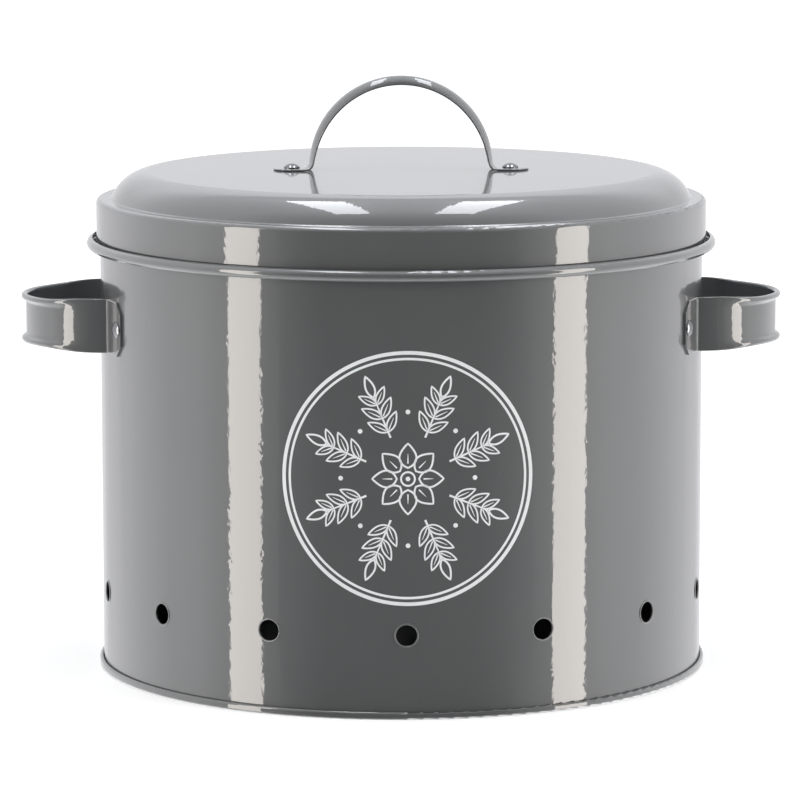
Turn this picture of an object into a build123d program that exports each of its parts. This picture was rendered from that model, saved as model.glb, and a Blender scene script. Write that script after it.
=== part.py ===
from build123d import *
import os
from math import acos, asin, atan2, cos, degrees, radians, sin, sqrt

# Round sheet-steel potato bin with a lift-off lid, two side handles and a row of air holes.
# Millimetres. +Z is up, the front is -Y, and the origin is on the ground under the bin's axis.

# ---- driving dimensions ----

# sheet and wall
sheet = 0.5             # thickness of the wall, the base and the lid
wall_r = 120.0          # outer radius of the wall
bin_h = 186.4           # ground to the top of the wall's rolled rim
rim_roll_r = 1.6        # outer radius of the inward roll on the rim
rim_roll_turn = 285.0   # degrees that the rim is rolled through

# base, folded together with the wall in a double seam
panel_z = 3.6           # height of the base panel's top face
panel_bend_r = 1.0      # bend between the panel and its upright wall
seam_h = 3.0            # height of the seam band
seam_foot_r = 0.7       # bends either side of the seam's flat foot, at mid-thickness
seam_gap = 0.05         # play between the folded layers

# air holes
vent_d = 8.0
vent_count = 14
vent_z = 32.4           # ground to the centres of the holes

# lid
lid_fit = 0.9           # play between the wall and the lid's skirt, all round
lid_seat = 0.3          # play between the rim and the ledge that rests on it
lid_rise = 10.4         # ledge to the flat top
shoulder_r = 16.0       # radius of the rounded shoulder
groove_r = 0.8          # radius in the corner between shoulder and ledge
ledge_w = 3.7           # flat of the ledge, between the groove and the outer corner
ledge_corner_r = 1.8    # outer corner between ledge and skirt
skirt_h = 19.9          # ledge to the lowest point of the rolled edge
lid_roll_r = 2.175      # outer radius of the outward roll on the lid's edge
lid_roll_turn = 270.0   # degrees that the lid's edge is rolled through

# straps of all three handles
strap_t = 0.8           # thickness
strap_gap = 0.05        # play between a strap and the sheet under it

# lid handle, a strap with flat feet that is pressed half round over the arch
grip_foot_w = 15.0      # width of the feet
grip_arch_w = 10.5      # width of the strap at the top of the arch, before it is pressed
grip_turn = 79.0        # degrees that each edge is turned down at the top of the arch
grip_arch_r = 36.65     # outer radius of the arch
grip_arch_lift = 0.9    # lid top to the centre of the arch
grip_bend_r = 2.8       # outward bend at each foot, on its hollow side
grip_start_share = 0.7  # share of the foot's bend in which the edges start to turn
grip_rivet_out = 6.85   # outer face of the arch, at its widest, to each rivet
grip_foot_end = 7.4     # rivet to the rounded end of the foot

# side handles
side_w = 21.4           # height of the flat strap
side_z = 139.6          # ground to the middle of the strap
side_reach = 29.9       # wall to the outer face of the grip
side_arch_r = 34.5      # outer radius of the grip, seen from above
side_fold_r = 1.0       # fold between grip and tab, on its hollow side
side_tab_len = 15.5     # fold to the end of the tab, along the wall
side_tab_clip = 4.5     # clipped corners of the tab
side_rivet_edge = 4.1   # end of the tab to the rivet, along the wall
bead_out = 1.75         # how far the rolled edges stand out of the grip
bead_take = 1.0         # width that rolling takes off each edge
bead_run = 2.4          # height of the hollow between a rolled edge and the flat of the grip
bead_full_angle = 42.0  # degrees each side of the grip's tip with full rolled edges
bead_none_angle = 76.0  # degrees from the tip at which the rolled edges have faded out

# rivets
rivet_head_d = 6.4
rivet_head_h = 1.7
rivet_rim_h = 0.3       # upright rim of the domed head
rivet_shank_d = 3.0
rivet_tail_d = 5.4
rivet_tail_h = 0.9
rivet_play = 0.05       # shank in its hole, all round, and heads off curved sheet

# number of steps between the sections that each grip is lofted through
grip_bend_steps = 6     # bend at either foot of the lid handle
grip_arch_steps = 10    # either half of its arch
grip_arch_ease = 1.6    # above 1, its sections stand closer together near the bends
side_fade_steps = 6     # either end of a side handle's beads
side_bead_steps = 6     # its full beads

os.makedirs("parts", exist_ok=True)

# ---- sizes worked out from them ----

wall_mid_r = wall_r - sheet / 2
rim_mid_r = rim_roll_r - sheet / 2
ledge_z = bin_h + lid_seat + sheet
lid_top_z = ledge_z + lid_rise
skirt_r = wall_r + lid_fit + sheet
flat_crown = sheet / 50
flat_turn = 0.2
hole_d = rivet_shank_d + 2 * rivet_play

# layers of the double seam, from the inside out: base, wall, base hook, wall hook, base
seam_step = sheet + seam_gap
base_up_r = wall_mid_r - seam_step
base_hook_r = wall_mid_r + seam_step
wall_hook_r = wall_mid_r + 2 * seam_step
seam_band_r = wall_mid_r + 3 * seam_step
fold_floor_z = sheet / 2 + 2 * seam_step
fold_roof_z = seam_h - sheet / 2 - seam_step


def smooth_step(x):
    # 0 to 1 with level ends
    x = min(max(x, 0.0), 1.0)
    return x * x * (3 - 2 * x)


def point_at(radius, angle, z=0.0):
    # a point at this distance from the axis of the bin, angle in degrees from +X
    return (radius * cos(radians(angle)), radius * sin(radians(angle)), z)


def radial_plane(radius, angle, z):
    # faces outward from the axis of the bin
    return Plane(origin=point_at(radius, angle, z), x_dir=(0, 0, 1), z_dir=point_at(1, angle))


# ---- wall ----

with BuildPart() as body_wall:
    with BuildSketch(Plane.XZ) as wall_profile:
        with BuildLine() as wall_line:
            hook = Line((wall_hook_r, fold_roof_z - seam_gap), (wall_hook_r, fold_floor_z))
            turn = JernArc(start=hook @ 1, tangent=(0, -1), radius=seam_step, arc_size=-180)
            upright = Line(turn @ 1, (wall_mid_r, bin_h - rim_roll_r))
            JernArc(start=upright @ 1, tangent=(0, 1), radius=rim_mid_r, arc_size=rim_roll_turn)
        trace(line_width=sheet)
    revolve(axis=Axis.Z)
    for vent in range(vent_count):
        with BuildSketch(radial_plane(0, 360 * vent / vent_count - 90, vent_z)):
            Circle(vent_d / 2)
        extrude(amount=wall_r + sheet, mode=Mode.SUBTRACT)

# ---- base ----

with BuildPart() as base_pan:
    with BuildSketch(Plane.XZ) as pan_profile:
        with BuildLine() as pan_line:
            panel_mid_z = panel_z - sheet / 2
            panel_bend = panel_bend_r + sheet / 2
            panel = Line((0, panel_mid_z), (base_up_r - panel_bend, panel_mid_z))
            bend = JernArc(start=panel @ 1, tangent=(1, 0), radius=panel_bend, arc_size=-90)
            down = Line(bend @ 1, (base_up_r, sheet / 2 + seam_foot_r))
            heel = JernArc(start=down @ 1, tangent=(0, -1), radius=seam_foot_r, arc_size=90)
            foot = Line(heel @ 1, (seam_band_r - seam_foot_r, sheet / 2))
            toe = JernArc(start=foot @ 1, tangent=(1, 0), radius=seam_foot_r, arc_size=90)
            band = Line(toe @ 1, (seam_band_r, fold_roof_z))
            over = JernArc(start=band @ 1, tangent=(0, 1), radius=seam_step, arc_size=180)
            Line(over @ 1, (base_hook_r, fold_floor_z + seam_gap))
        trace(line_width=sheet)
    revolve(axis=Axis.Z)

# ---- lid ----

with BuildPart() as lid_shell:
    with BuildSketch(Plane.XZ) as lid_profile:
        with BuildLine() as lid_line:
            top_mid_z = lid_top_z - sheet / 2
            shoulder_mid = shoulder_r - sheet / 2
            groove_mid = groove_r + sheet / 2
            corner_mid = ledge_corner_r - sheet / 2
            lid_roll_mid = lid_roll_r - sheet / 2
            skirt_mid_r = skirt_r - sheet / 2
            shoulder_turn = degrees(acos(1 - lid_rise / (shoulder_mid + groove_mid)))
            shoulder_run = (shoulder_mid + groove_mid) * sin(radians(shoulder_turn))
            lid_flat_r = skirt_mid_r - corner_mid - ledge_w - shoulder_run
            lid_roll_z = ledge_z - skirt_h + lid_roll_r
            top = Line((0, top_mid_z), (lid_flat_r, top_mid_z))
            shoulder = JernArc(
                start=top @ 1, tangent=(1, 0), radius=shoulder_mid, arc_size=-shoulder_turn
            )
            groove = JernArc(
                start=shoulder @ 1, tangent=shoulder % 1, radius=groove_mid, arc_size=shoulder_turn
            )
            ledge = Line(groove @ 1, (skirt_mid_r - corner_mid, ledge_z - sheet / 2))
            corner = JernArc(start=ledge @ 1, tangent=(1, 0), radius=corner_mid, arc_size=-90)
            skirt = Line(corner @ 1, (skirt_mid_r, lid_roll_z))
            JernArc(
                start=skirt @ 1, tangent=(0, -1), radius=lid_roll_mid, arc_size=lid_roll_turn
            )
        trace(line_width=sheet)
    revolve(axis=Axis.Z)

# ---- lid handle ----

grip_mid_r = grip_arch_r - strap_t / 2
grip_rivet_x = grip_arch_r + grip_rivet_out
grip_foot_z = lid_top_z + strap_gap + strap_t / 2
grip_arch_z = lid_top_z + grip_arch_lift
grip_bend_mid = grip_bend_r + strap_t / 2
# the bend touches the level of the foot and the circle of the arch
grip_bend_rise = grip_foot_z + grip_bend_mid - grip_arch_z
grip_bend_x = sqrt((grip_mid_r + grip_bend_mid) ** 2 - grip_bend_rise**2)
grip_lean = degrees(asin(grip_bend_rise / (grip_mid_r + grip_bend_mid)))
grip_end_x = grip_rivet_x + grip_foot_end - grip_foot_w / 2
grip_bend_len = grip_bend_mid * radians(90 - grip_lean)
grip_half_len = grip_bend_len + grip_mid_r * radians(90 - grip_lean)


def turned_strap(plane, width, turn):
    # a strap's section, bent round so that both edges are turned down by this many degrees.
    # The plane is on the strap's outer face, its x points out of the arch and its y across.
    reach = radians(max(turn, flat_turn))
    edge_r = (width - strap_t) / 2 / reach
    outer_r = edge_r + strap_t / 2
    inner_r = edge_r - strap_t / 2
    tip = reach + strap_t / 2 / edge_r

    def across(radius, angle):
        return (radius * cos(angle) - outer_r, radius * sin(angle))

    with BuildSketch(plane) as section:
        with BuildLine():
            ThreePointArc(across(outer_r, -reach), (0, 0), across(outer_r, reach))
            ThreePointArc(across(outer_r, reach), across(edge_r, tip), across(inner_r, reach))
            ThreePointArc(across(inner_r, reach), (-strap_t, 0), across(inner_r, -reach))
            ThreePointArc(across(inner_r, -reach), across(edge_r, -tip), across(outer_r, -reach))
        make_face()
    return section.sketch


def grip_section(x, z, angle, length):
    # the lid handle's section at a point of its outer face that faces this angle from +X, at
    # this length from the straight part of the foot
    out = (cos(radians(angle)), 0, sin(radians(angle)))
    plane = Plane(origin=(x, 0, z), x_dir=out, z_dir=(out[2], 0, -out[0]))
    start = smooth_step(length / (grip_start_share * grip_bend_len))
    share = start * sqrt(length / grip_half_len)
    width = grip_foot_w + (grip_arch_w - grip_foot_w) * share
    return turned_strap(plane, width, grip_turn * share)


def spread(start, end, steps):
    # evenly spaced values from start to end, both included
    return [start + (end - start) * step / steps for step in range(steps + 1)]


# places of the sections from the right foot to the top of the arch
half_grip = []
for turned in spread(0, 90 - grip_lean, grip_bend_steps):
    x = grip_bend_x - grip_bend_r * sin(radians(turned))
    z = grip_foot_z + grip_bend_mid - grip_bend_r * cos(radians(turned))
    half_grip.append((x, z, 90 - turned, grip_bend_mid * radians(turned)))
for share in spread(0, 1, grip_arch_steps)[1:]:
    angle = grip_lean + (90 - grip_lean) * share**grip_arch_ease
    x = grip_arch_r * cos(radians(angle))
    z = grip_arch_z + grip_arch_r * sin(radians(angle))
    half_grip.append((x, z, angle, grip_bend_len + grip_mid_r * radians(angle - grip_lean)))
other_half = [(-x, z, 180 - angle, length) for x, z, angle, length in half_grip[-2::-1]]

with BuildPart() as lid_handle:
    foot_plane = Plane(
        origin=(grip_end_x, 0, grip_foot_z + strap_t / 2), x_dir=(0, 0, 1), z_dir=(-1, 0, 0)
    )
    foot_section = turned_strap(foot_plane, grip_foot_w, 0)
    extrude(to_extrude=foot_section, amount=grip_end_x - grip_bend_x)
    half_section = split(foot_section, bisect_by=Plane.XZ, mode=Mode.PRIVATE)
    round_end = Axis((grip_end_x, 0, 0), (0, 0, 1))
    revolve(half_section.faces(), axis=round_end, revolution_arc=180)
    with BuildSketch(Plane.XY.offset(lid_top_z)):
        with Locations((grip_rivet_x, 0)):
            Circle(hole_d / 2)
    extrude(amount=strap_gap + 2 * strap_t, mode=Mode.SUBTRACT)
    mirror(about=Plane.YZ)
    loft(sections=[grip_section(*place) for place in half_grip + other_half])

# ---- side handles ----

side_mid_r = side_arch_r - strap_t / 2
side_centre_x = wall_r + side_reach - side_arch_r
tab_mid_r = wall_r + strap_gap + strap_t / 2
tab_face_r = tab_mid_r + strap_t / 2
fold_mid = side_fold_r + strap_t / 2
# the fold touches the tab's circle round the bin and the grip's circle
fold_centre_r = tab_mid_r + fold_mid
fold_reach = side_mid_r + fold_mid
fold_x = (fold_centre_r**2 - fold_reach**2 + side_centre_x**2) / (2 * side_centre_x)
fold_y = sqrt(fold_centre_r**2 - fold_x**2)
fold_tab_angle = degrees(atan2(fold_y, fold_x))
fold_grip_angle = degrees(atan2(fold_y, fold_x - side_centre_x))
tab_end_angle = fold_tab_angle + degrees(side_tab_len / tab_face_r)
side_rivet_angle = tab_end_angle - degrees(side_rivet_edge / tab_face_r)


def beaded_strap(plane, bead):
    # a strap's section with both edges rolled outward into beads, from 0, flat, to 1, full.
    # The plane is on the strap's outer face, its x points outward and its y along the width.
    out = max(bead * bead_out, flat_crown)
    half = side_w / 2 - bead * bead_take
    round_r = (out + strap_t) / 2
    shoulder = half - round_r
    hollow = side_w / 2 - bead_take - (bead_out + strap_t) / 2 - bead_run
    with BuildSketch(plane) as section:
        with BuildLine():
            Line((-strap_t, -shoulder), (-strap_t, shoulder))
            ThreePointArc((-strap_t, shoulder), (out - round_r, half), (out, shoulder))
            Spline((out, shoulder), (0, hollow), tangents=[(0, -1), (0, -1)])
            Line((0, hollow), (0, -hollow))
            Spline((0, -hollow), (out, -shoulder), tangents=[(0, -1), (0, -1)])
            ThreePointArc((out, -shoulder), (out - round_r, -half), (-strap_t, -shoulder))
        make_face()
    return section.sketch


def side_section(angle):
    # a section of the right handle's grip at this angle from its tip
    out = point_at(1, angle)
    on_face = point_at(side_arch_r, angle, side_z)
    plane = Plane(
        origin=(side_centre_x + on_face[0], on_face[1], side_z),
        x_dir=out,
        z_dir=(out[1], -out[0], 0),
    )
    fade = (bead_none_angle - abs(angle)) / (bead_none_angle - bead_full_angle)
    return beaded_strap(plane, smooth_step(fade))


side_angles = spread(bead_none_angle, bead_full_angle, side_fade_steps)
side_angles += spread(bead_full_angle, -bead_full_angle, side_bead_steps)[1:]
side_angles += spread(-bead_full_angle, -bead_none_angle, side_fade_steps)[1:]

with BuildPart() as side_handle:
    tab_heading = (sin(radians(tab_end_angle)), -cos(radians(tab_end_angle)))
    tab_plane = Plane(
        origin=point_at(tab_face_r, tab_end_angle, side_z),
        x_dir=point_at(1, tab_end_angle),
        z_dir=(*tab_heading, 0),
    )
    with BuildLine(Plane.XY.offset(side_z)) as tab_line:
        tab_run = JernArc(
            start=point_at(tab_mid_r, tab_end_angle)[:2],
            tangent=tab_heading,
            radius=tab_mid_r,
            arc_size=fold_tab_angle - tab_end_angle,
        )
        tab_fold = JernArc(
            start=tab_run @ 1,
            tangent=tab_run % 1,
            radius=fold_mid,
            arc_size=fold_grip_angle - fold_tab_angle,
        )
        JernArc(
            start=tab_fold @ 1,
            tangent=tab_fold % 1,
            radius=side_mid_r,
            arc_size=bead_none_angle - fold_grip_angle,
        )
    sweep(sections=beaded_strap(tab_plane, 0), path=tab_line.wires()[0])
    clip_plane = radial_plane(tab_mid_r, tab_end_angle, side_z)
    with BuildSketch(clip_plane) as clips:
        with BuildLine():
            Polyline(
                (side_w / 2 - side_tab_clip - strap_t, -strap_t),
                (side_w / 2 + strap_t, side_tab_clip + strap_t),
                (side_w / 2 + strap_t, -strap_t),
                close=True,
            )
        make_face()
        mirror(about=Plane.YZ)
    extrude(amount=2 * strap_t, both=True, mode=Mode.SUBTRACT)
    with BuildSketch(radial_plane(0, side_rivet_angle, side_z)):
        Circle(hole_d / 2)
    extrude(amount=tab_face_r + strap_t, mode=Mode.SUBTRACT)
    mirror(about=Plane.XZ)
    loft(sections=[side_section(angle) for angle in side_angles])

with BuildPart() as side_handle_right:
    add(side_handle.part)

with BuildPart() as side_handle_left:
    add(side_handle.part, rotation=(0, 0, 180))

# ---- holes through the sheets under the straps ----

side_rivet_angles = {
    "right_front": -side_rivet_angle,
    "right_rear": side_rivet_angle,
    "left_front": 180 + side_rivet_angle,
    "left_rear": 180 - side_rivet_angle,
}

with body_wall:
    for angle in side_rivet_angles.values():
        with BuildSketch(radial_plane(0, angle, side_z)):
            Circle(hole_d / 2)
        extrude(amount=wall_r + sheet, mode=Mode.SUBTRACT)

with lid_shell:
    with BuildSketch(Plane.XY.offset(lid_top_z)):
        with Locations((grip_rivet_x, 0), (-grip_rivet_x, 0)):
            Circle(hole_d / 2)
    extrude(amount=-2 * sheet, mode=Mode.SUBTRACT)

# ---- rivets ----


def rivet_profile(seat, grip):
    # half a rivet's section on the seat plane, whose y runs out of the domed head. The head
    # sits at y = 0 and the tail is closed this far below it.
    head_r = rivet_head_d / 2
    shank_r = rivet_shank_d / 2
    tail_r = rivet_tail_d / 2
    with BuildSketch(seat) as profile:
        with BuildLine():
            TangentArc((0, rivet_head_h), (head_r, rivet_rim_h), tangent=(1, 0))
            Polyline(
                (head_r, rivet_rim_h),
                (head_r, 0),
                (shank_r, 0),
                (shank_r, -grip),
                (tail_r, -grip),
                (tail_r, -grip - rivet_tail_h / 2),
            )
            TangentArc(
                (0, -grip - rivet_tail_h), (tail_r, -grip - rivet_tail_h / 2), tangent=(1, 0)
            )
            Line((0, -grip - rivet_tail_h), (0, rivet_head_h))
        make_face()
    return profile.sketch


side_seat_r = tab_face_r + rivet_play
side_grip = side_seat_r - (wall_r - sheet - rivet_play)
side_rivets = {}
for corner, angle in side_rivet_angles.items():
    seat = Plane(
        origin=point_at(side_seat_r, angle, side_z), x_dir=(0, 0, 1), z_dir=point_at(1, angle + 90)
    )
    with BuildPart() as side_rivet:
        revolve(rivet_profile(seat, side_grip), axis=Axis(seat.origin, seat.y_dir))
    side_rivets["side_rivet_" + corner] = side_rivet

lid_seat_z = lid_top_z + strap_gap + strap_t + rivet_play
lid_grip = strap_gap + strap_t + sheet + 2 * rivet_play
lid_rivets = {}
for side, x in {"left": -grip_rivet_x, "right": grip_rivet_x}.items():
    seat = Plane(origin=(x, 0, lid_seat_z), x_dir=(1, 0, 0), z_dir=(0, -1, 0))
    with BuildPart() as lid_rivet:
        revolve(rivet_profile(seat, lid_grip), axis=Axis(seat.origin, seat.y_dir))
    lid_rivets["lid_rivet_" + side] = lid_rivet

# ---- write every piece ----

pieces = {
    "body_wall": body_wall,
    "base_pan": base_pan,
    "lid_shell": lid_shell,
    "lid_handle": lid_handle,
    "side_handle_left": side_handle_left,
    "side_handle_right": side_handle_right,
    **side_rivets,
    **lid_rivets,
}
for name, piece in pieces.items():
    piece.part.label = name
    export_step(piece.part, f"parts/{name}.step")
    print(name, round(piece.part.volume), "mm3")
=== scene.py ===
import bpy
from math import cos, hypot, pi, radians, sin, sqrt
from mathutils import Matrix, Vector


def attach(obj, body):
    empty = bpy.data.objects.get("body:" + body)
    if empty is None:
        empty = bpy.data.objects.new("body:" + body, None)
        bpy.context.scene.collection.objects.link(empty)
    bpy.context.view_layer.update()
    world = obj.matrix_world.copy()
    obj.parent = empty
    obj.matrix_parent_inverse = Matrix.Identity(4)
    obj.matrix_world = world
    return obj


# Grey enamelled potato bin: studio, finishes, the print on the front and the lips of the air holes.
# Metres, +Z up, front of the bin towards -Y.

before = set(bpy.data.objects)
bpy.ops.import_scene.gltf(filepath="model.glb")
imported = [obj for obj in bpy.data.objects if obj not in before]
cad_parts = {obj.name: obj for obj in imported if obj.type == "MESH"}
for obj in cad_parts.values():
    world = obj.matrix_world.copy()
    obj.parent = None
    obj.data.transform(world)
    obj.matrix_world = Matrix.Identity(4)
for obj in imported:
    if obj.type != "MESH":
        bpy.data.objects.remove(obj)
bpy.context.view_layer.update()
mm = 0.001
print("frame loaded:", len(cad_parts), "nodes")

# ---------- shared helpers


def srgb(hexText, alpha=1.0):
    # sRGB hex to the linear colour that Blender's sockets take
    channels = [int(hexText[i:i + 2], 16) / 255 for i in (1, 3, 5)]
    linear = [c / 12.92 if c <= 0.04045 else ((c + 0.055) / 1.055) ** 2.4 for c in channels]
    return (*linear, alpha)


def addNode(tree, kind, settings={}, **inputs):
    # adds a node, sets its properties, and fills or links its inputs by name or number
    node = tree.nodes.new(kind)
    for name, value in settings.items():
        setattr(node, name, value)
    for name, value in inputs.items():
        key = int(name[1:]) if name[0] == "_" else name.replace("_", " ")
        socket = node.inputs[key]
        if isinstance(value, bpy.types.NodeSocket):
            tree.links.new(value, socket)
        else:
            socket.default_value = value
    return node


def newMaterial(name):
    material = bpy.data.materials.new(name)
    material.use_nodes = True
    material.node_tree.nodes.clear()
    return material, material.node_tree


def newObject(name, data):
    made = bpy.data.objects.new(name, data)
    bpy.context.scene.collection.objects.link(made)
    return made


def perMm(size):
    # texture scale, per metre, for a pattern this many millimetres across
    return 1 / (size * mm)


# ---------- places read from the frame

wallR = 120.0 * mm  # outside of the wall
ventCount = 14
ventZ = 32.4 * mm
ventR = 4.0 * mm

# ---------- camera

cameraPlace = {
    "distance": 1860.2 * mm,  # from the bin's axis, on the level
    "height": 377.3 * mm,
    "azimuth": -0.88,  # degrees round the bin from its front, as the air holes show
    "pitch": 8.332,
    "yaw": 0.017,
    "roll": -0.075,
    "lens": 210.9,
    "sensor": 36.0,
    "clip": (0.1, 100),
}


def makeCamera(place):
    data = bpy.data.cameras.new("photoCamera")
    data.lens = place["lens"]
    data.sensor_width = place["sensor"]
    data.clip_start, data.clip_end = place["clip"]
    camera = newObject("photoCamera", data)
    around = radians(place["azimuth"])
    spot = Vector((sin(around), -cos(around), 0)) * place["distance"]
    spot.z = place["height"]
    turn = Matrix.Rotation(around + radians(place["yaw"]), 4, "Z")
    tilt = Matrix.Rotation(radians(90 - place["pitch"]), 4, "X")
    roll = Matrix.Rotation(radians(place["roll"]), 4, "Z")
    camera.matrix_world = Matrix.Translation(spot) @ turn @ tilt @ roll
    bpy.context.scene.camera = camera


makeCamera(cameraPlace)
bpy.context.scene.view_settings.view_transform = "Standard"
print("camera placed")

# ---------- studio

studio = {
    "rigTurn": -0.88,  # degrees, so that the lights stand round the camera's line
    "stripFar": 1500 * mm,
    "strips": [(-59.0, 361 * mm), (64.1, 367 * mm)],  # degrees round from the camera, width
    "stripTall": 1800 * mm,
    "stripGlow": (10.1, 9.5, 8.9),
    "panelUp": 1100 * mm,
    "panels": [(-228 * mm, 178 * mm), (250 * mm, 190 * mm)],  # sideways place, width
    "panelLong": 805 * mm,
    "panelBack": 22 * mm,
    "panelGlow": (9.9, 10.2, 10.7),
    # brightness of the room seen in the gloss, by the angle from the camera's side of the room
    "roomGlow": [(0, 0.03), (30, 0.1), (37, 0.3), (43, 0.5), (48, 0.95), (84, 2.5), (110, 2.1),
                 (121.8, 1.86), (122.3, 1.7), (122.8, 1.84), (150, 1.05), (170, 0.9), (180, 0.88)],
    "roomTop": 2.5,  # the brightest of them
    "roomBlue": 1.03,  # blue against red straight behind the bin
    # what the back of the room has of that, by the sine of the height; it ends near 45 degrees
    "backGlow": [(0, 1.0), (0.26, 1.0), (0.54, 1.5), (0.66, 1.6), (0.71, 0.45), (1, 0.45)],
    "backTop": 1.7,  # not below the highest of them
    "backFrom": 120,  # degrees from the camera's side
    "backFull": 150,
    "roomDiffuse": 0.16,  # share of the room's glow that lights matt surfaces
    "boardSeen": 0.9,  # what the white board under the bin adds to the room seen in the gloss
    "boardFrom": -0.24,  # sine of the height below which it starts to
    "boardFull": -0.5,
    "floorSize": 30.0,
    "floorColour": "#e6e6e6",
    "floorGlow": 0.45,  # lift near the bin
    "floorGlowFar": 1.0,  # lift from floorFar on, where the lamps no longer reach
    "floorNear": 0.35,
    "floorFar": 1.3,
    "grainSize": 6,  # mm, of the board's surface
    "grainDepth": 0.02,  # mm
    "grainStrength": 0.2,
}


def makeAreaLight(name, place, aim, width, height, glow):
    data = bpy.data.lights.new(name, "AREA")
    data.shape = "RECTANGLE"
    data.size, data.size_y = width, height
    peak = max(glow)
    data.color = [c / peak for c in glow]
    data.energy = peak * pi * width * height  # watts for this brightness
    light = newObject(name, data)
    light.location = place
    light.rotation_euler = (Vector(aim) - Vector(place)).to_track_quat("-Z", "Y").to_euler()
    light.visible_camera = False
    return light


def makeLights(rig):
    turn = Matrix.Rotation(radians(rig["rigTurn"]), 3, "Z")
    for number, (azimuth, width) in enumerate(rig["strips"]):
        out = Vector((sin(radians(azimuth)), -cos(radians(azimuth)), 0)) * rig["stripFar"]
        makeAreaLight(
            f"strip{number}", turn @ out, (0, 0, 0), width, rig["stripTall"], rig["stripGlow"]
        )
    for number, (side, width) in enumerate(rig["panels"]):
        place = turn @ Vector((side, rig["panelBack"], rig["panelUp"]))
        under = place - Vector((0, 0, 1))
        light = makeAreaLight(
            f"panel{number}", place, under, width, rig["panelLong"], rig["panelGlow"]
        )
        light.rotation_euler = (0, 0, radians(rig["rigTurn"]))


def addGlowRamp(tree, value, rows, top, blue):
    # a colour ramp through the given brightnesses, as shares of the top one, bluer to its end
    ramp = addNode(tree, "ShaderNodeValToRGB", Fac=value)
    stops = ramp.color_ramp.elements
    stops[0].position, stops[1].position = 0, 1
    for place, glow in rows[1:-1]:
        stops.new(place)
    for stop, (place, glow) in zip(stops, rows):
        share = glow / top
        stop.color = (share, share, share * (1 + (blue - 1) * place), 1)
    return ramp


def makeRoom(rig):
    # a white room behind and beside the bin that darkens towards the camera's side
    world = bpy.data.worlds.new("studioRoom")
    bpy.context.scene.world = world
    world.use_nodes = True
    tree = world.node_tree
    tree.nodes.clear()
    turn = radians(rig["rigTurn"])
    front = (sin(turn), -cos(turn), 0)
    place = addNode(tree, "ShaderNodeTexCoord")
    facing = addNode(
        tree, "ShaderNodeVectorMath", {"operation": "DOT_PRODUCT"},
        _0=place.outputs["Generated"], _1=front,
    )
    angle = addNode(tree, "ShaderNodeMath", {"operation": "ARCCOSINE"}, _0=facing.outputs["Value"])
    share = addNode(tree, "ShaderNodeMath", {"operation": "DIVIDE"}, _0=angle.outputs[0], _1=pi)
    rows = [(degree / 180, glow) for degree, glow in rig["roomGlow"]]
    around = addGlowRamp(tree, share.outputs[0], rows, rig["roomTop"], rig["roomBlue"])
    level = addNode(tree, "ShaderNodeSeparateXYZ", Vector=place.outputs["Generated"])
    rise = addGlowRamp(tree, level.outputs["Z"], rig["backGlow"], rig["backTop"], 1.0)
    behind = addNode(
        tree, "ShaderNodeMapRange", {"interpolation_type": "SMOOTHSTEP"}, Value=share.outputs[0],
        From_Min=rig["backFrom"] / 180, From_Max=rig["backFull"] / 180,
    )
    lifted = addNode(
        tree, "ShaderNodeMath", {"operation": "MULTIPLY"},
        _0=rise.outputs["Color"], _1=rig["backTop"],
    )
    backShare = addNode(
        tree, "ShaderNodeMix", {"data_type": "FLOAT"},
        _0=behind.outputs[0], _2=1.0, _3=lifted.outputs[0],
    )
    rays = addNode(tree, "ShaderNodeLightPath")
    gloss = rays.outputs["Is Glossy Ray"]
    strength = addNode(
        tree, "ShaderNodeMapRange",
        Value=gloss, To_Min=rig["roomTop"] * rig["roomDiffuse"], To_Max=rig["roomTop"],
    )
    shaped = addNode(
        tree, "ShaderNodeMath", {"operation": "MULTIPLY"},
        _0=strength.outputs[0], _1=backShare.outputs[0],
    )
    room = addNode(
        tree, "ShaderNodeBackground", Color=around.outputs["Color"], Strength=shaped.outputs[0]
    )
    below = addNode(
        tree, "ShaderNodeMapRange", Value=level.outputs["Z"],
        From_Min=rig["boardFrom"], From_Max=rig["boardFull"], To_Max=rig["boardSeen"],
    )
    boardShare = addNode(
        tree, "ShaderNodeMath", {"operation": "MULTIPLY"}, _0=gloss, _1=below.outputs[0]
    )
    board = addNode(
        tree, "ShaderNodeBackground", Color=(1, 1, 1, 1), Strength=boardShare.outputs[0]
    )
    roomAndBoard = addNode(tree, "ShaderNodeAddShader", _0=room.outputs[0], _1=board.outputs[0])
    white = addNode(tree, "ShaderNodeBackground", Color=(1, 1, 1, 1), Strength=1.0)
    seen = addNode(
        tree, "ShaderNodeMixShader",
        _0=rays.outputs["Is Camera Ray"], _1=roomAndBoard.outputs[0], _2=white.outputs[0],
    )
    addNode(tree, "ShaderNodeOutputWorld", Surface=seen.outputs[0])


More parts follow.
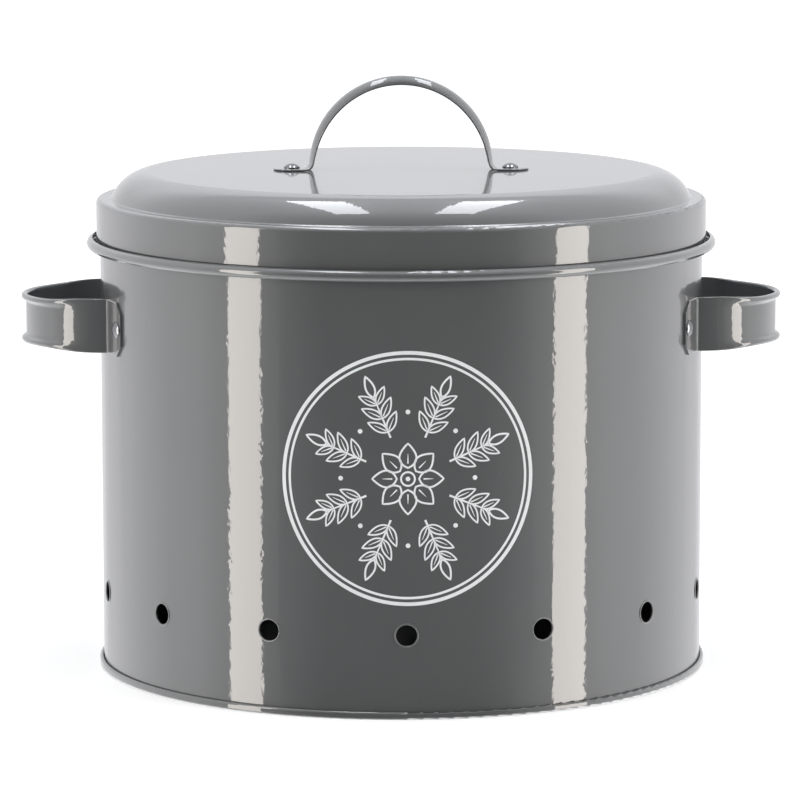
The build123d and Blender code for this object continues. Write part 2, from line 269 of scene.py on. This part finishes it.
def makeFloor(rig):
    # matt white board; the camera sees it lifted to white, with the bin's shadow left in
    material, tree = newMaterial("mattBoard")
    place = addNode(tree, "ShaderNodeTexCoord")
    grain = addNode(
        tree, "ShaderNodeTexNoise",
        Vector=place.outputs["Object"], Scale=perMm(rig["grainSize"]), Detail=3.0,
    )
    bump = addNode(
        tree, "ShaderNodeBump",
        Strength=rig["grainStrength"], Distance=rig["grainDepth"] * mm, Height=grain.outputs["Fac"],
    )
    board = addNode(
        tree, "ShaderNodeBsdfDiffuse", Color=srgb(rig["floorColour"]), Normal=bump.outputs[0]
    )
    rays = addNode(tree, "ShaderNodeLightPath")
    away = addNode(
        tree, "ShaderNodeVectorMath", {"operation": "LENGTH"}, _0=place.outputs["Object"]
    )
    near = addNode(
        tree, "ShaderNodeMapRange", {"interpolation_type": "SMOOTHSTEP"},
        Value=away.outputs["Value"], From_Min=rig["floorNear"], From_Max=rig["floorFar"],
        To_Min=rig["floorGlow"], To_Max=rig["floorGlowFar"],
    )
    lift = addNode(
        tree, "ShaderNodeMath", {"operation": "MULTIPLY"},
        _0=rays.outputs["Is Camera Ray"], _1=near.outputs[0],
    )
    glow = addNode(tree, "ShaderNodeEmission", Color=(1, 1, 1, 1), Strength=lift.outputs[0])
    both = addNode(tree, "ShaderNodeAddShader", _0=board.outputs[0], _1=glow.outputs[0])
    addNode(tree, "ShaderNodeOutputMaterial", Surface=both.outputs[0])

    half = rig["floorSize"] / 2
    mesh = bpy.data.meshes.new("floor")
    corners = [(-half, -half, 0), (half, -half, 0), (half, half, 0), (-half, half, 0)]
    mesh.from_pydata(corners, [], [(0, 1, 2, 3)])
    mesh.materials.append(material)
    floor = newObject("floor", mesh)
    floor.visible_glossy = False  # the gloss shows the white room below the board's level too


makeLights(studio)
makeRoom(studio)
makeFloor(studio)
print("studio built")

# ---------- grey enamel
# Glossy baked enamel on sheet steel, sprayed and stoved. It gives sharp mirror images that
# waver a little on the orange peel, a soft haze round bright lights and a few dust nibs.

sheetEnamel = {
    "colour": "#5a5c5e",
    "colourPatch": "#5f6162",
    "patchSize": 45,  # mm, slow drift in the coat's thickness
    "peelSize": 2.4,  # mm
    "peelDepth": 0.027,  # mm
    "rollSize": 9,  # mm, waviness left by rolling the sheet
    "rollDepth": 0.02,  # mm
    "dustSpacing": 7,  # mm
    "dustR": 0.16,  # mm, drawn a little coarser than real dust
    "dustCore": 0.3,  # share of it that is at full height
    "dustColour": "#a6a7a5",
    "dustShare": 0.35,  # share of the cells that hold a speck
    "dustHigh": 0.04,  # mm
    "haze": 0.09,  # share of the soft shine under the coat
    "roughness": 0.33,  # of that shine
    "coatRoughness": 0.035,
    "ior": 1.5,
}


def makeEnamel(name, look):
    material, tree = newMaterial(name)
    place = addNode(tree, "ShaderNodeTexCoord").outputs["Object"]
    patches = addNode(
        tree, "ShaderNodeTexNoise", Vector=place, Scale=perMm(look["patchSize"]), Detail=2.0
    )
    paint = addNode(
        tree, "ShaderNodeMix", {"data_type": "RGBA"},
        _0=patches.outputs["Fac"], _6=srgb(look["colour"]), _7=srgb(look["colourPatch"]),
    )
    # dust under the coat: one small dot in some cells of a grid
    cells = addNode(
        tree, "ShaderNodeTexVoronoi", Vector=place, Scale=perMm(look["dustSpacing"])
    )
    chance = addNode(tree, "ShaderNodeSeparateColor", Color=cells.outputs["Color"])
    picked = addNode(
        tree, "ShaderNodeMath", {"operation": "LESS_THAN"},
        _0=chance.outputs["Red"], _1=look["dustShare"],
    )
    size = addNode(
        tree, "ShaderNodeMapRange", {"interpolation_type": "SMOOTHSTEP"},
        Value=cells.outputs["Distance"],
        From_Min=look["dustR"] / look["dustSpacing"],
        From_Max=look["dustCore"] * look["dustR"] / look["dustSpacing"],
    )
    dust = addNode(
        tree, "ShaderNodeMath", {"operation": "MULTIPLY"}, _0=picked.outputs[0], _1=size.outputs[0]
    )
    colour = addNode(
        tree, "ShaderNodeMix", {"data_type": "RGBA"},
        _0=dust.outputs[0], _6=paint.outputs[2], _7=srgb(look["dustColour"]),
    )
    peel = addNode(
        tree, "ShaderNodeTexNoise", Vector=place, Scale=perMm(look["peelSize"]), Detail=1.5
    )
    rolled = addNode(
        tree, "ShaderNodeTexNoise", Vector=place, Scale=perMm(look["rollSize"]), Detail=1.0
    )
    # heights are in units of the rolling's depth, so that each pattern keeps its own
    peelHeight = addNode(
        tree, "ShaderNodeMath", {"operation": "MULTIPLY"},
        _0=peel.outputs["Fac"], _1=look["peelDepth"] / look["rollDepth"],
    )
    height = addNode(
        tree, "ShaderNodeMath", {"operation": "ADD"},
        _0=peelHeight.outputs[0], _1=rolled.outputs["Fac"],
    )
    withDust = addNode(
        tree, "ShaderNodeMath", {"operation": "MULTIPLY_ADD"},
        _0=dust.outputs[0], _1=look["dustHigh"] / look["rollDepth"], _2=height.outputs[0],
    )
    bump = addNode(
        tree, "ShaderNodeBump", Strength=1.0, Distance=look["rollDepth"] * mm,
        Height=withDust.outputs[0],
    )
    shader = addNode(
        tree, "ShaderNodeBsdfPrincipled",
        Base_Color=colour.outputs[2], Roughness=look["roughness"], IOR=look["ior"],
        Specular_IOR_Level=look["haze"], Coat_Weight=1.0,
        Coat_Roughness=look["coatRoughness"], Coat_IOR=look["ior"],
        Normal=bump.outputs[0], Coat_Normal=bump.outputs[0],
    )
    addNode(tree, "ShaderNodeOutputMaterial", Surface=shader.outputs[0])
    return material


# ---------- rivets
# Dull nickel-plated mild steel, cold headed. It gives dark mirror images with small bright
# spots, softened by fine wear.

rivetPlating = {
    "colour": "#5c5d5f",
    "roughness": 0.14,
    "wearSize": 0.6,  # mm
    "wearDepth": 0.004,  # mm
    "wearSmooth": 0.6,  # roughness where the metal is least worn, against the value above
    "wearRough": 1.5,  # and where it is most worn
}


def makePlating(name, look):
    material, tree = newMaterial(name)
    place = addNode(tree, "ShaderNodeTexCoord").outputs["Object"]
    wear = addNode(
        tree, "ShaderNodeTexNoise", Vector=place, Scale=perMm(look["wearSize"]), Detail=3.0
    )
    rough = addNode(
        tree, "ShaderNodeMapRange", Value=wear.outputs["Fac"],
        To_Min=look["roughness"] * look["wearSmooth"], To_Max=look["roughness"] * look["wearRough"],
    )
    bump = addNode(
        tree, "ShaderNodeBump",
        Strength=1.0, Distance=look["wearDepth"] * mm, Height=wear.outputs["Fac"],
    )
    shader = addNode(
        tree, "ShaderNodeBsdfPrincipled",
        Base_Color=srgb(look["colour"]), Metallic=1.0, Roughness=rough.outputs[0],
        Normal=bump.outputs[0],
    )
    addNode(tree, "ShaderNodeOutputMaterial", Surface=shader.outputs[0])
    return material


enamel = makeEnamel("bakedGreyEnamel", sheetEnamel)
plating = makePlating("nickelPlatedSteel", rivetPlating)

for nodeName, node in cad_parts.items():
    node.data.materials.clear()
    node.data.materials.append(plating if "rivet" in nodeName else enamel)
print("finishes set")

# ---------- print on the front
# Screen-printed epoxy ink, a few hundredths of a millimetre thick. It gives a near white,
# slightly blue line with a half gloss.

printInk = {
    "colour": "#fafdff",
    "colourThin": "#eff5f8",
    "weaveSize": 0.35,  # mm, of the screen, drawn coarser than real
    "weaveDepth": 0.003,  # mm
    "coverSize": 3,  # mm, patches where the ink lies thinner
    "roughness": 0.22,
    "ior": 1.5,
}


def makeInk(name, look):
    material, tree = newMaterial(name)
    place = addNode(tree, "ShaderNodeTexCoord").outputs["Object"]
    cover = addNode(
        tree, "ShaderNodeTexNoise", Vector=place, Scale=perMm(look["coverSize"]), Detail=4.0
    )
    colour = addNode(
        tree, "ShaderNodeMix", {"data_type": "RGBA"},
        _0=cover.outputs["Fac"], _6=srgb(look["colourThin"]), _7=srgb(look["colour"]),
    )
    weave = addNode(tree, "ShaderNodeTexNoise", Vector=place, Scale=perMm(look["weaveSize"]))
    bump = addNode(
        tree, "ShaderNodeBump",
        Strength=1.0, Distance=look["weaveDepth"] * mm, Height=weave.outputs["Fac"],
    )
    shader = addNode(
        tree, "ShaderNodeBsdfPrincipled",
        Base_Color=colour.outputs[2], Roughness=look["roughness"], IOR=look["ior"],
        Normal=bump.outputs[0],
    )
    addNode(tree, "ShaderNodeOutputMaterial", Surface=shader.outputs[0])
    return material


# The print is drawn flat, in mm sideways along the wall and up from the middle of the rings.
# Shares are of the line's width, or of the length of the leaf or sprig.
printShape = {
    "middleAcross": 0.6,
    "middleZ": 92.4,
    "ringR": 48.6,
    "ringWide": 1.4,
    "ringGap": 1.15,
    "innerRingWide": 0.95,
    "ringSteps": 240,
    "lineWide": 0.75,
    "inkThick": 0.04,
    "inkSunk": 0.03,
    "flowerPetals": 8,
    "petalIn": 4.2,
    "petalOut": 13.5,
    "petalWide": 6.4,
    "petalVein": [(0.18, 0.8), (0.36, 0.6), (0.58, 0.2)],  # share of the length, of the width
    "heartShare": 0.62,  # of the petals' inner radius
    "heartSteps": 40,
    "sprigs": 8,
    "sprigIn": 17.0,
    "sprigOut": 40.0,
    "stemShare": 0.72,
    "stemSteps": 8,
    "stemWide": 1.1,
    "stemTaper": 0.05,  # lost at each step
    "tipExtra": 2.0,
    "leafPairs": 3,
    "leafStart": 2.5,
    "leafEvery": 0.24,
    "leafShrink": 0.12,  # lost with each pair away from the biggest
    "biggestPair": 0.6,
    "leafLine": 0.85,
    "leafVein": [(0.1, 0.7), (0.4, 0.55), (0.68, 0.2)],
    "leafLong": 9.0,
    "leafWide": 3.3,
    "leafLean": 44,
    "leafSteps": 14,
    "leafBelly": 0.8,  # below 1, the widest place is nearer the tip
    "leafFull": 0.9,  # below 1, the ends are blunter
    "dotR": 0.9,
    "dotSteps": 24,
    "dotRing": 25.5,
}


def wrapOnWall(across, up, out):
    # a point of the flat print laid round the front of the wall, at a height over its face
    turn = (printShape["middleAcross"] + across) * mm / wallR
    radius = wallR + out * mm
    return (radius * sin(turn), -radius * cos(turn), (printShape["middleZ"] + up) * mm)


class InkMesh:
    # collects strokes and dots of ink and makes one thin mesh of them
    def __init__(self):
        self.points, self.faces = [], []

    def stroke(self, path, wides, closed=False):
        # a line of ink along the path, with a width at each point
        count = len(path)
        rows = []
        for i, (x, y) in enumerate(path):
            before = path[i - 1] if closed or i else path[i]
            after = path[(i + 1) % count] if closed or i < count - 1 else path[i]
            dx, dy = after[0] - before[0], after[1] - before[1]
            size = hypot(dx, dy)
            nx, ny = -dy / size, dx / size
            half = wides[i] / 2
            row = []
            for side, out in ((1, 1), (-1, 1), (-1, 0), (1, 0)):
                height = printShape["inkThick"] if out else -printShape["inkSunk"]
                spot = wrapOnWall(x + side * half * nx, y + side * half * ny, height)
                row.append(len(self.points))
                self.points.append(spot)
            rows.append(row)
        pairs = list(zip(rows, rows[1:] + rows[:1])) if closed else list(zip(rows, rows[1:]))
        for a, b in pairs:
            for j in range(4):
                k = (j + 1) % 4
                self.faces.append((a[j], b[j], b[k], a[k]))
        if not closed:
            self.faces.append(tuple(rows[0]))
            self.faces.append(tuple(reversed(rows[-1])))

    def ring(self, middle, radius, wide, steps):
        x, y = middle
        path = [(x + radius * cos(2 * pi * i / steps), y + radius * sin(2 * pi * i / steps))
                for i in range(steps)]
        self.stroke(path, [wide] * steps, closed=True)

    def dot(self, middle, radius, steps):
        # a round spot of ink
        x, y = middle
        rows = []
        for height in (printShape["inkThick"], -printShape["inkSunk"]):
            row = []
            for i in range(steps):
                turn = 2 * pi * i / steps
                spot = wrapOnWall(x + radius * cos(turn), y + radius * sin(turn), height)
                row.append(len(self.points))
                self.points.append(spot)
            rows.append(row)
        top, foot = rows
        self.faces += [tuple(top), tuple(reversed(foot))]
        for i in range(steps):
            j = (i + 1) % steps
            self.faces.append((top[i], foot[i], foot[j], top[j]))

    def make(self, name, material):
        mesh = bpy.data.meshes.new(name)
        mesh.from_pydata(self.points, [], self.faces)
        mesh.update()
        mesh.materials.append(material)
        piece = newObject(name, mesh)
        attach(piece, "bin")


def along(start, heading, distance):
    return (start[0] + distance * cos(heading), start[1] + distance * sin(heading))


def leafOutline(shape, foot, heading, length, wide):
    # the closed outline of a pointed leaf
    def edge(side):
        row = []
        for i in range(shape["leafSteps"] + 1):
            t = i / shape["leafSteps"]
            spine = along(foot, heading, length * t)
            half = wide / 2 * sin(pi * t ** shape["leafBelly"]) ** shape["leafFull"]
            row.append(along(spine, heading + pi / 2, side * half))
        return row
    return edge(1) + edge(-1)[-2:0:-1]


def drawVein(lines, shape, foot, heading, length, vein):
    # a tapering line in the middle of a leaf or petal
    path = [along(foot, heading, length * reach) for reach, wide in vein]
    lines.stroke(path, [shape["lineWide"] * wide for reach, wide in vein])


def drawRings(shape):
    lines = InkMesh()
    outer = shape["ringR"] - shape["ringWide"] / 2
    inner = shape["ringR"] - shape["ringWide"] - shape["ringGap"] - shape["innerRingWide"] / 2
    lines.ring((0, 0), outer, shape["ringWide"], shape["ringSteps"])
    lines.ring((0, 0), inner, shape["innerRingWide"], shape["ringSteps"])
    return lines


def drawFlower(shape):
    # a flower with a ring and a dot for its heart
    lines = InkMesh()
    length = shape["petalOut"] - shape["petalIn"]
    for petal in range(shape["flowerPetals"]):
        heading = 2 * pi * petal / shape["flowerPetals"] + pi / 2
        foot = along((0, 0), heading, shape["petalIn"])
        outline = leafOutline(shape, foot, heading, length, shape["petalWide"])
        lines.stroke(outline, [shape["lineWide"]] * len(outline), closed=True)
        drawVein(lines, shape, foot, heading, length, shape["petalVein"])
    heart = shape["petalIn"] * shape["heartShare"]
    lines.ring((0, 0), heart, shape["lineWide"], shape["heartSteps"])
    lines.dot((0, 0), shape["dotR"], shape["dotSteps"])
    return lines


def drawSprigs(shape):
    # leafy sprigs standing round the flower, with a dot between each two
    lines = InkMesh()
    lean = radians(shape["leafLean"])
    length = shape["sprigOut"] - shape["sprigIn"]
    steps = shape["stemSteps"]
    stemLong = length * shape["stemShare"]
    tipLong = length * (1 - shape["stemShare"]) + shape["tipExtra"]
    for sprig in range(shape["sprigs"]):
        heading = 2 * pi * (sprig + 0.5) / shape["sprigs"] + pi / 2
        stem = [along((0, 0), heading, shape["sprigIn"] + stemLong * i / steps)
                for i in range(steps + 1)]
        wides = [shape["lineWide"] * (shape["stemWide"] - shape["stemTaper"] * i)
                 for i in range(steps + 1)]
        lines.stroke(stem, wides)
        tip = leafOutline(shape, stem[-1], heading, tipLong, shape["leafWide"])
        lines.stroke(tip, [shape["lineWide"]] * len(tip), closed=True)
        for pair in range(shape["leafPairs"]):
            reach = shape["sprigIn"] + shape["leafStart"] + length * shape["leafEvery"] * pair
            foot = along((0, 0), heading, reach)
            size = 1 - shape["leafShrink"] * abs(pair - shape["biggestPair"])
            leafLong, leafWide = shape["leafLong"] * size, shape["leafWide"] * size
            for side in (1, -1):
                leafHeading = heading + side * lean
                leaf = leafOutline(shape, foot, leafHeading, leafLong, leafWide)
                lines.stroke(leaf, [shape["lineWide"] * shape["leafLine"]] * len(leaf), closed=True)
                drawVein(lines, shape, foot, leafHeading, leafLong, shape["leafVein"])
        between = 2 * pi * sprig / shape["sprigs"] + pi / 2
        spot = along((0, 0), between, shape["dotRing"])
        lines.dot(spot, shape["dotR"], shape["dotSteps"])
    return lines


screenInk = makeInk("screenPrintInk", printInk)
drawRings(printShape).make("printRings", screenInk)
drawFlower(printShape).make("printFlower", screenInk)
drawSprigs(printShape).make("printSprigs", screenInk)
print("print laid on the wall")

# ---------- lips of the air holes
# Punching leaves a small rounded lip round each hole, which catches the light.

ventLip = {
    "wide": 0.7,  # mm, outward from the hole's edge
    "high": 0.34,  # mm, over the wall
    "inside": 0.02,  # mm, how far it stands into the hole
    "deep": 0.5,  # mm, down the hole's edge
    "sunk": 0.03,  # mm, its outer edge in the wall
    "bite": 0.04,  # mm, its lower end in the wall
    "fullness": 0.8,  # below 1, its section is blunter than a sine
    "roundSteps": 6,
    "steps": 64,
}


def makeVentLips(look):
    points, faces = [], []
    hole = ventR / mm
    # section of the lip: distance from the hole's centre, height over the wall
    section = [(hole + look["wide"], -look["sunk"])]
    for i in range(look["roundSteps"] + 1):
        t = pi * i / look["roundSteps"]
        reach = hole + look["wide"] / 2 * (1 + cos(t)) - look["inside"] * (1 - cos(t)) / 2
        section.append((reach, look["high"] * sin(t) ** look["fullness"]))
    section.append((hole - look["inside"], -look["deep"]))
    section.append((hole + look["bite"], -look["deep"]))
    count = len(section)
    for vent in range(ventCount):
        heading = 2 * pi * vent / ventCount - pi / 2
        base = len(points)
        for step in range(look["steps"]):
            around = 2 * pi * step / look["steps"]
            for radius, height in section:
                across, up = radius * cos(around), radius * sin(around)
                reach = sqrt((wallR / mm + height) ** 2 - across ** 2) * mm
                side = across * mm
                points.append((reach * cos(heading) - side * sin(heading),
                               reach * sin(heading) + side * cos(heading), ventZ + up * mm))
        for step in range(look["steps"]):
            after = (step + 1) % look["steps"]
            for j in range(count):
                k = (j + 1) % count
                faces.append((base + step * count + j, base + after * count + j,
                              base + after * count + k, base + step * count + k))
    mesh = bpy.data.meshes.new("ventLips")
    mesh.from_pydata(points, [], faces)
    mesh.update()
    for face in mesh.polygons:
        face.use_smooth = True
    mesh.materials.append(enamel)
    lips = newObject("ventLips", mesh)
    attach(lips, "bin")


makeVentLips(ventLip)
print("air holes finished")
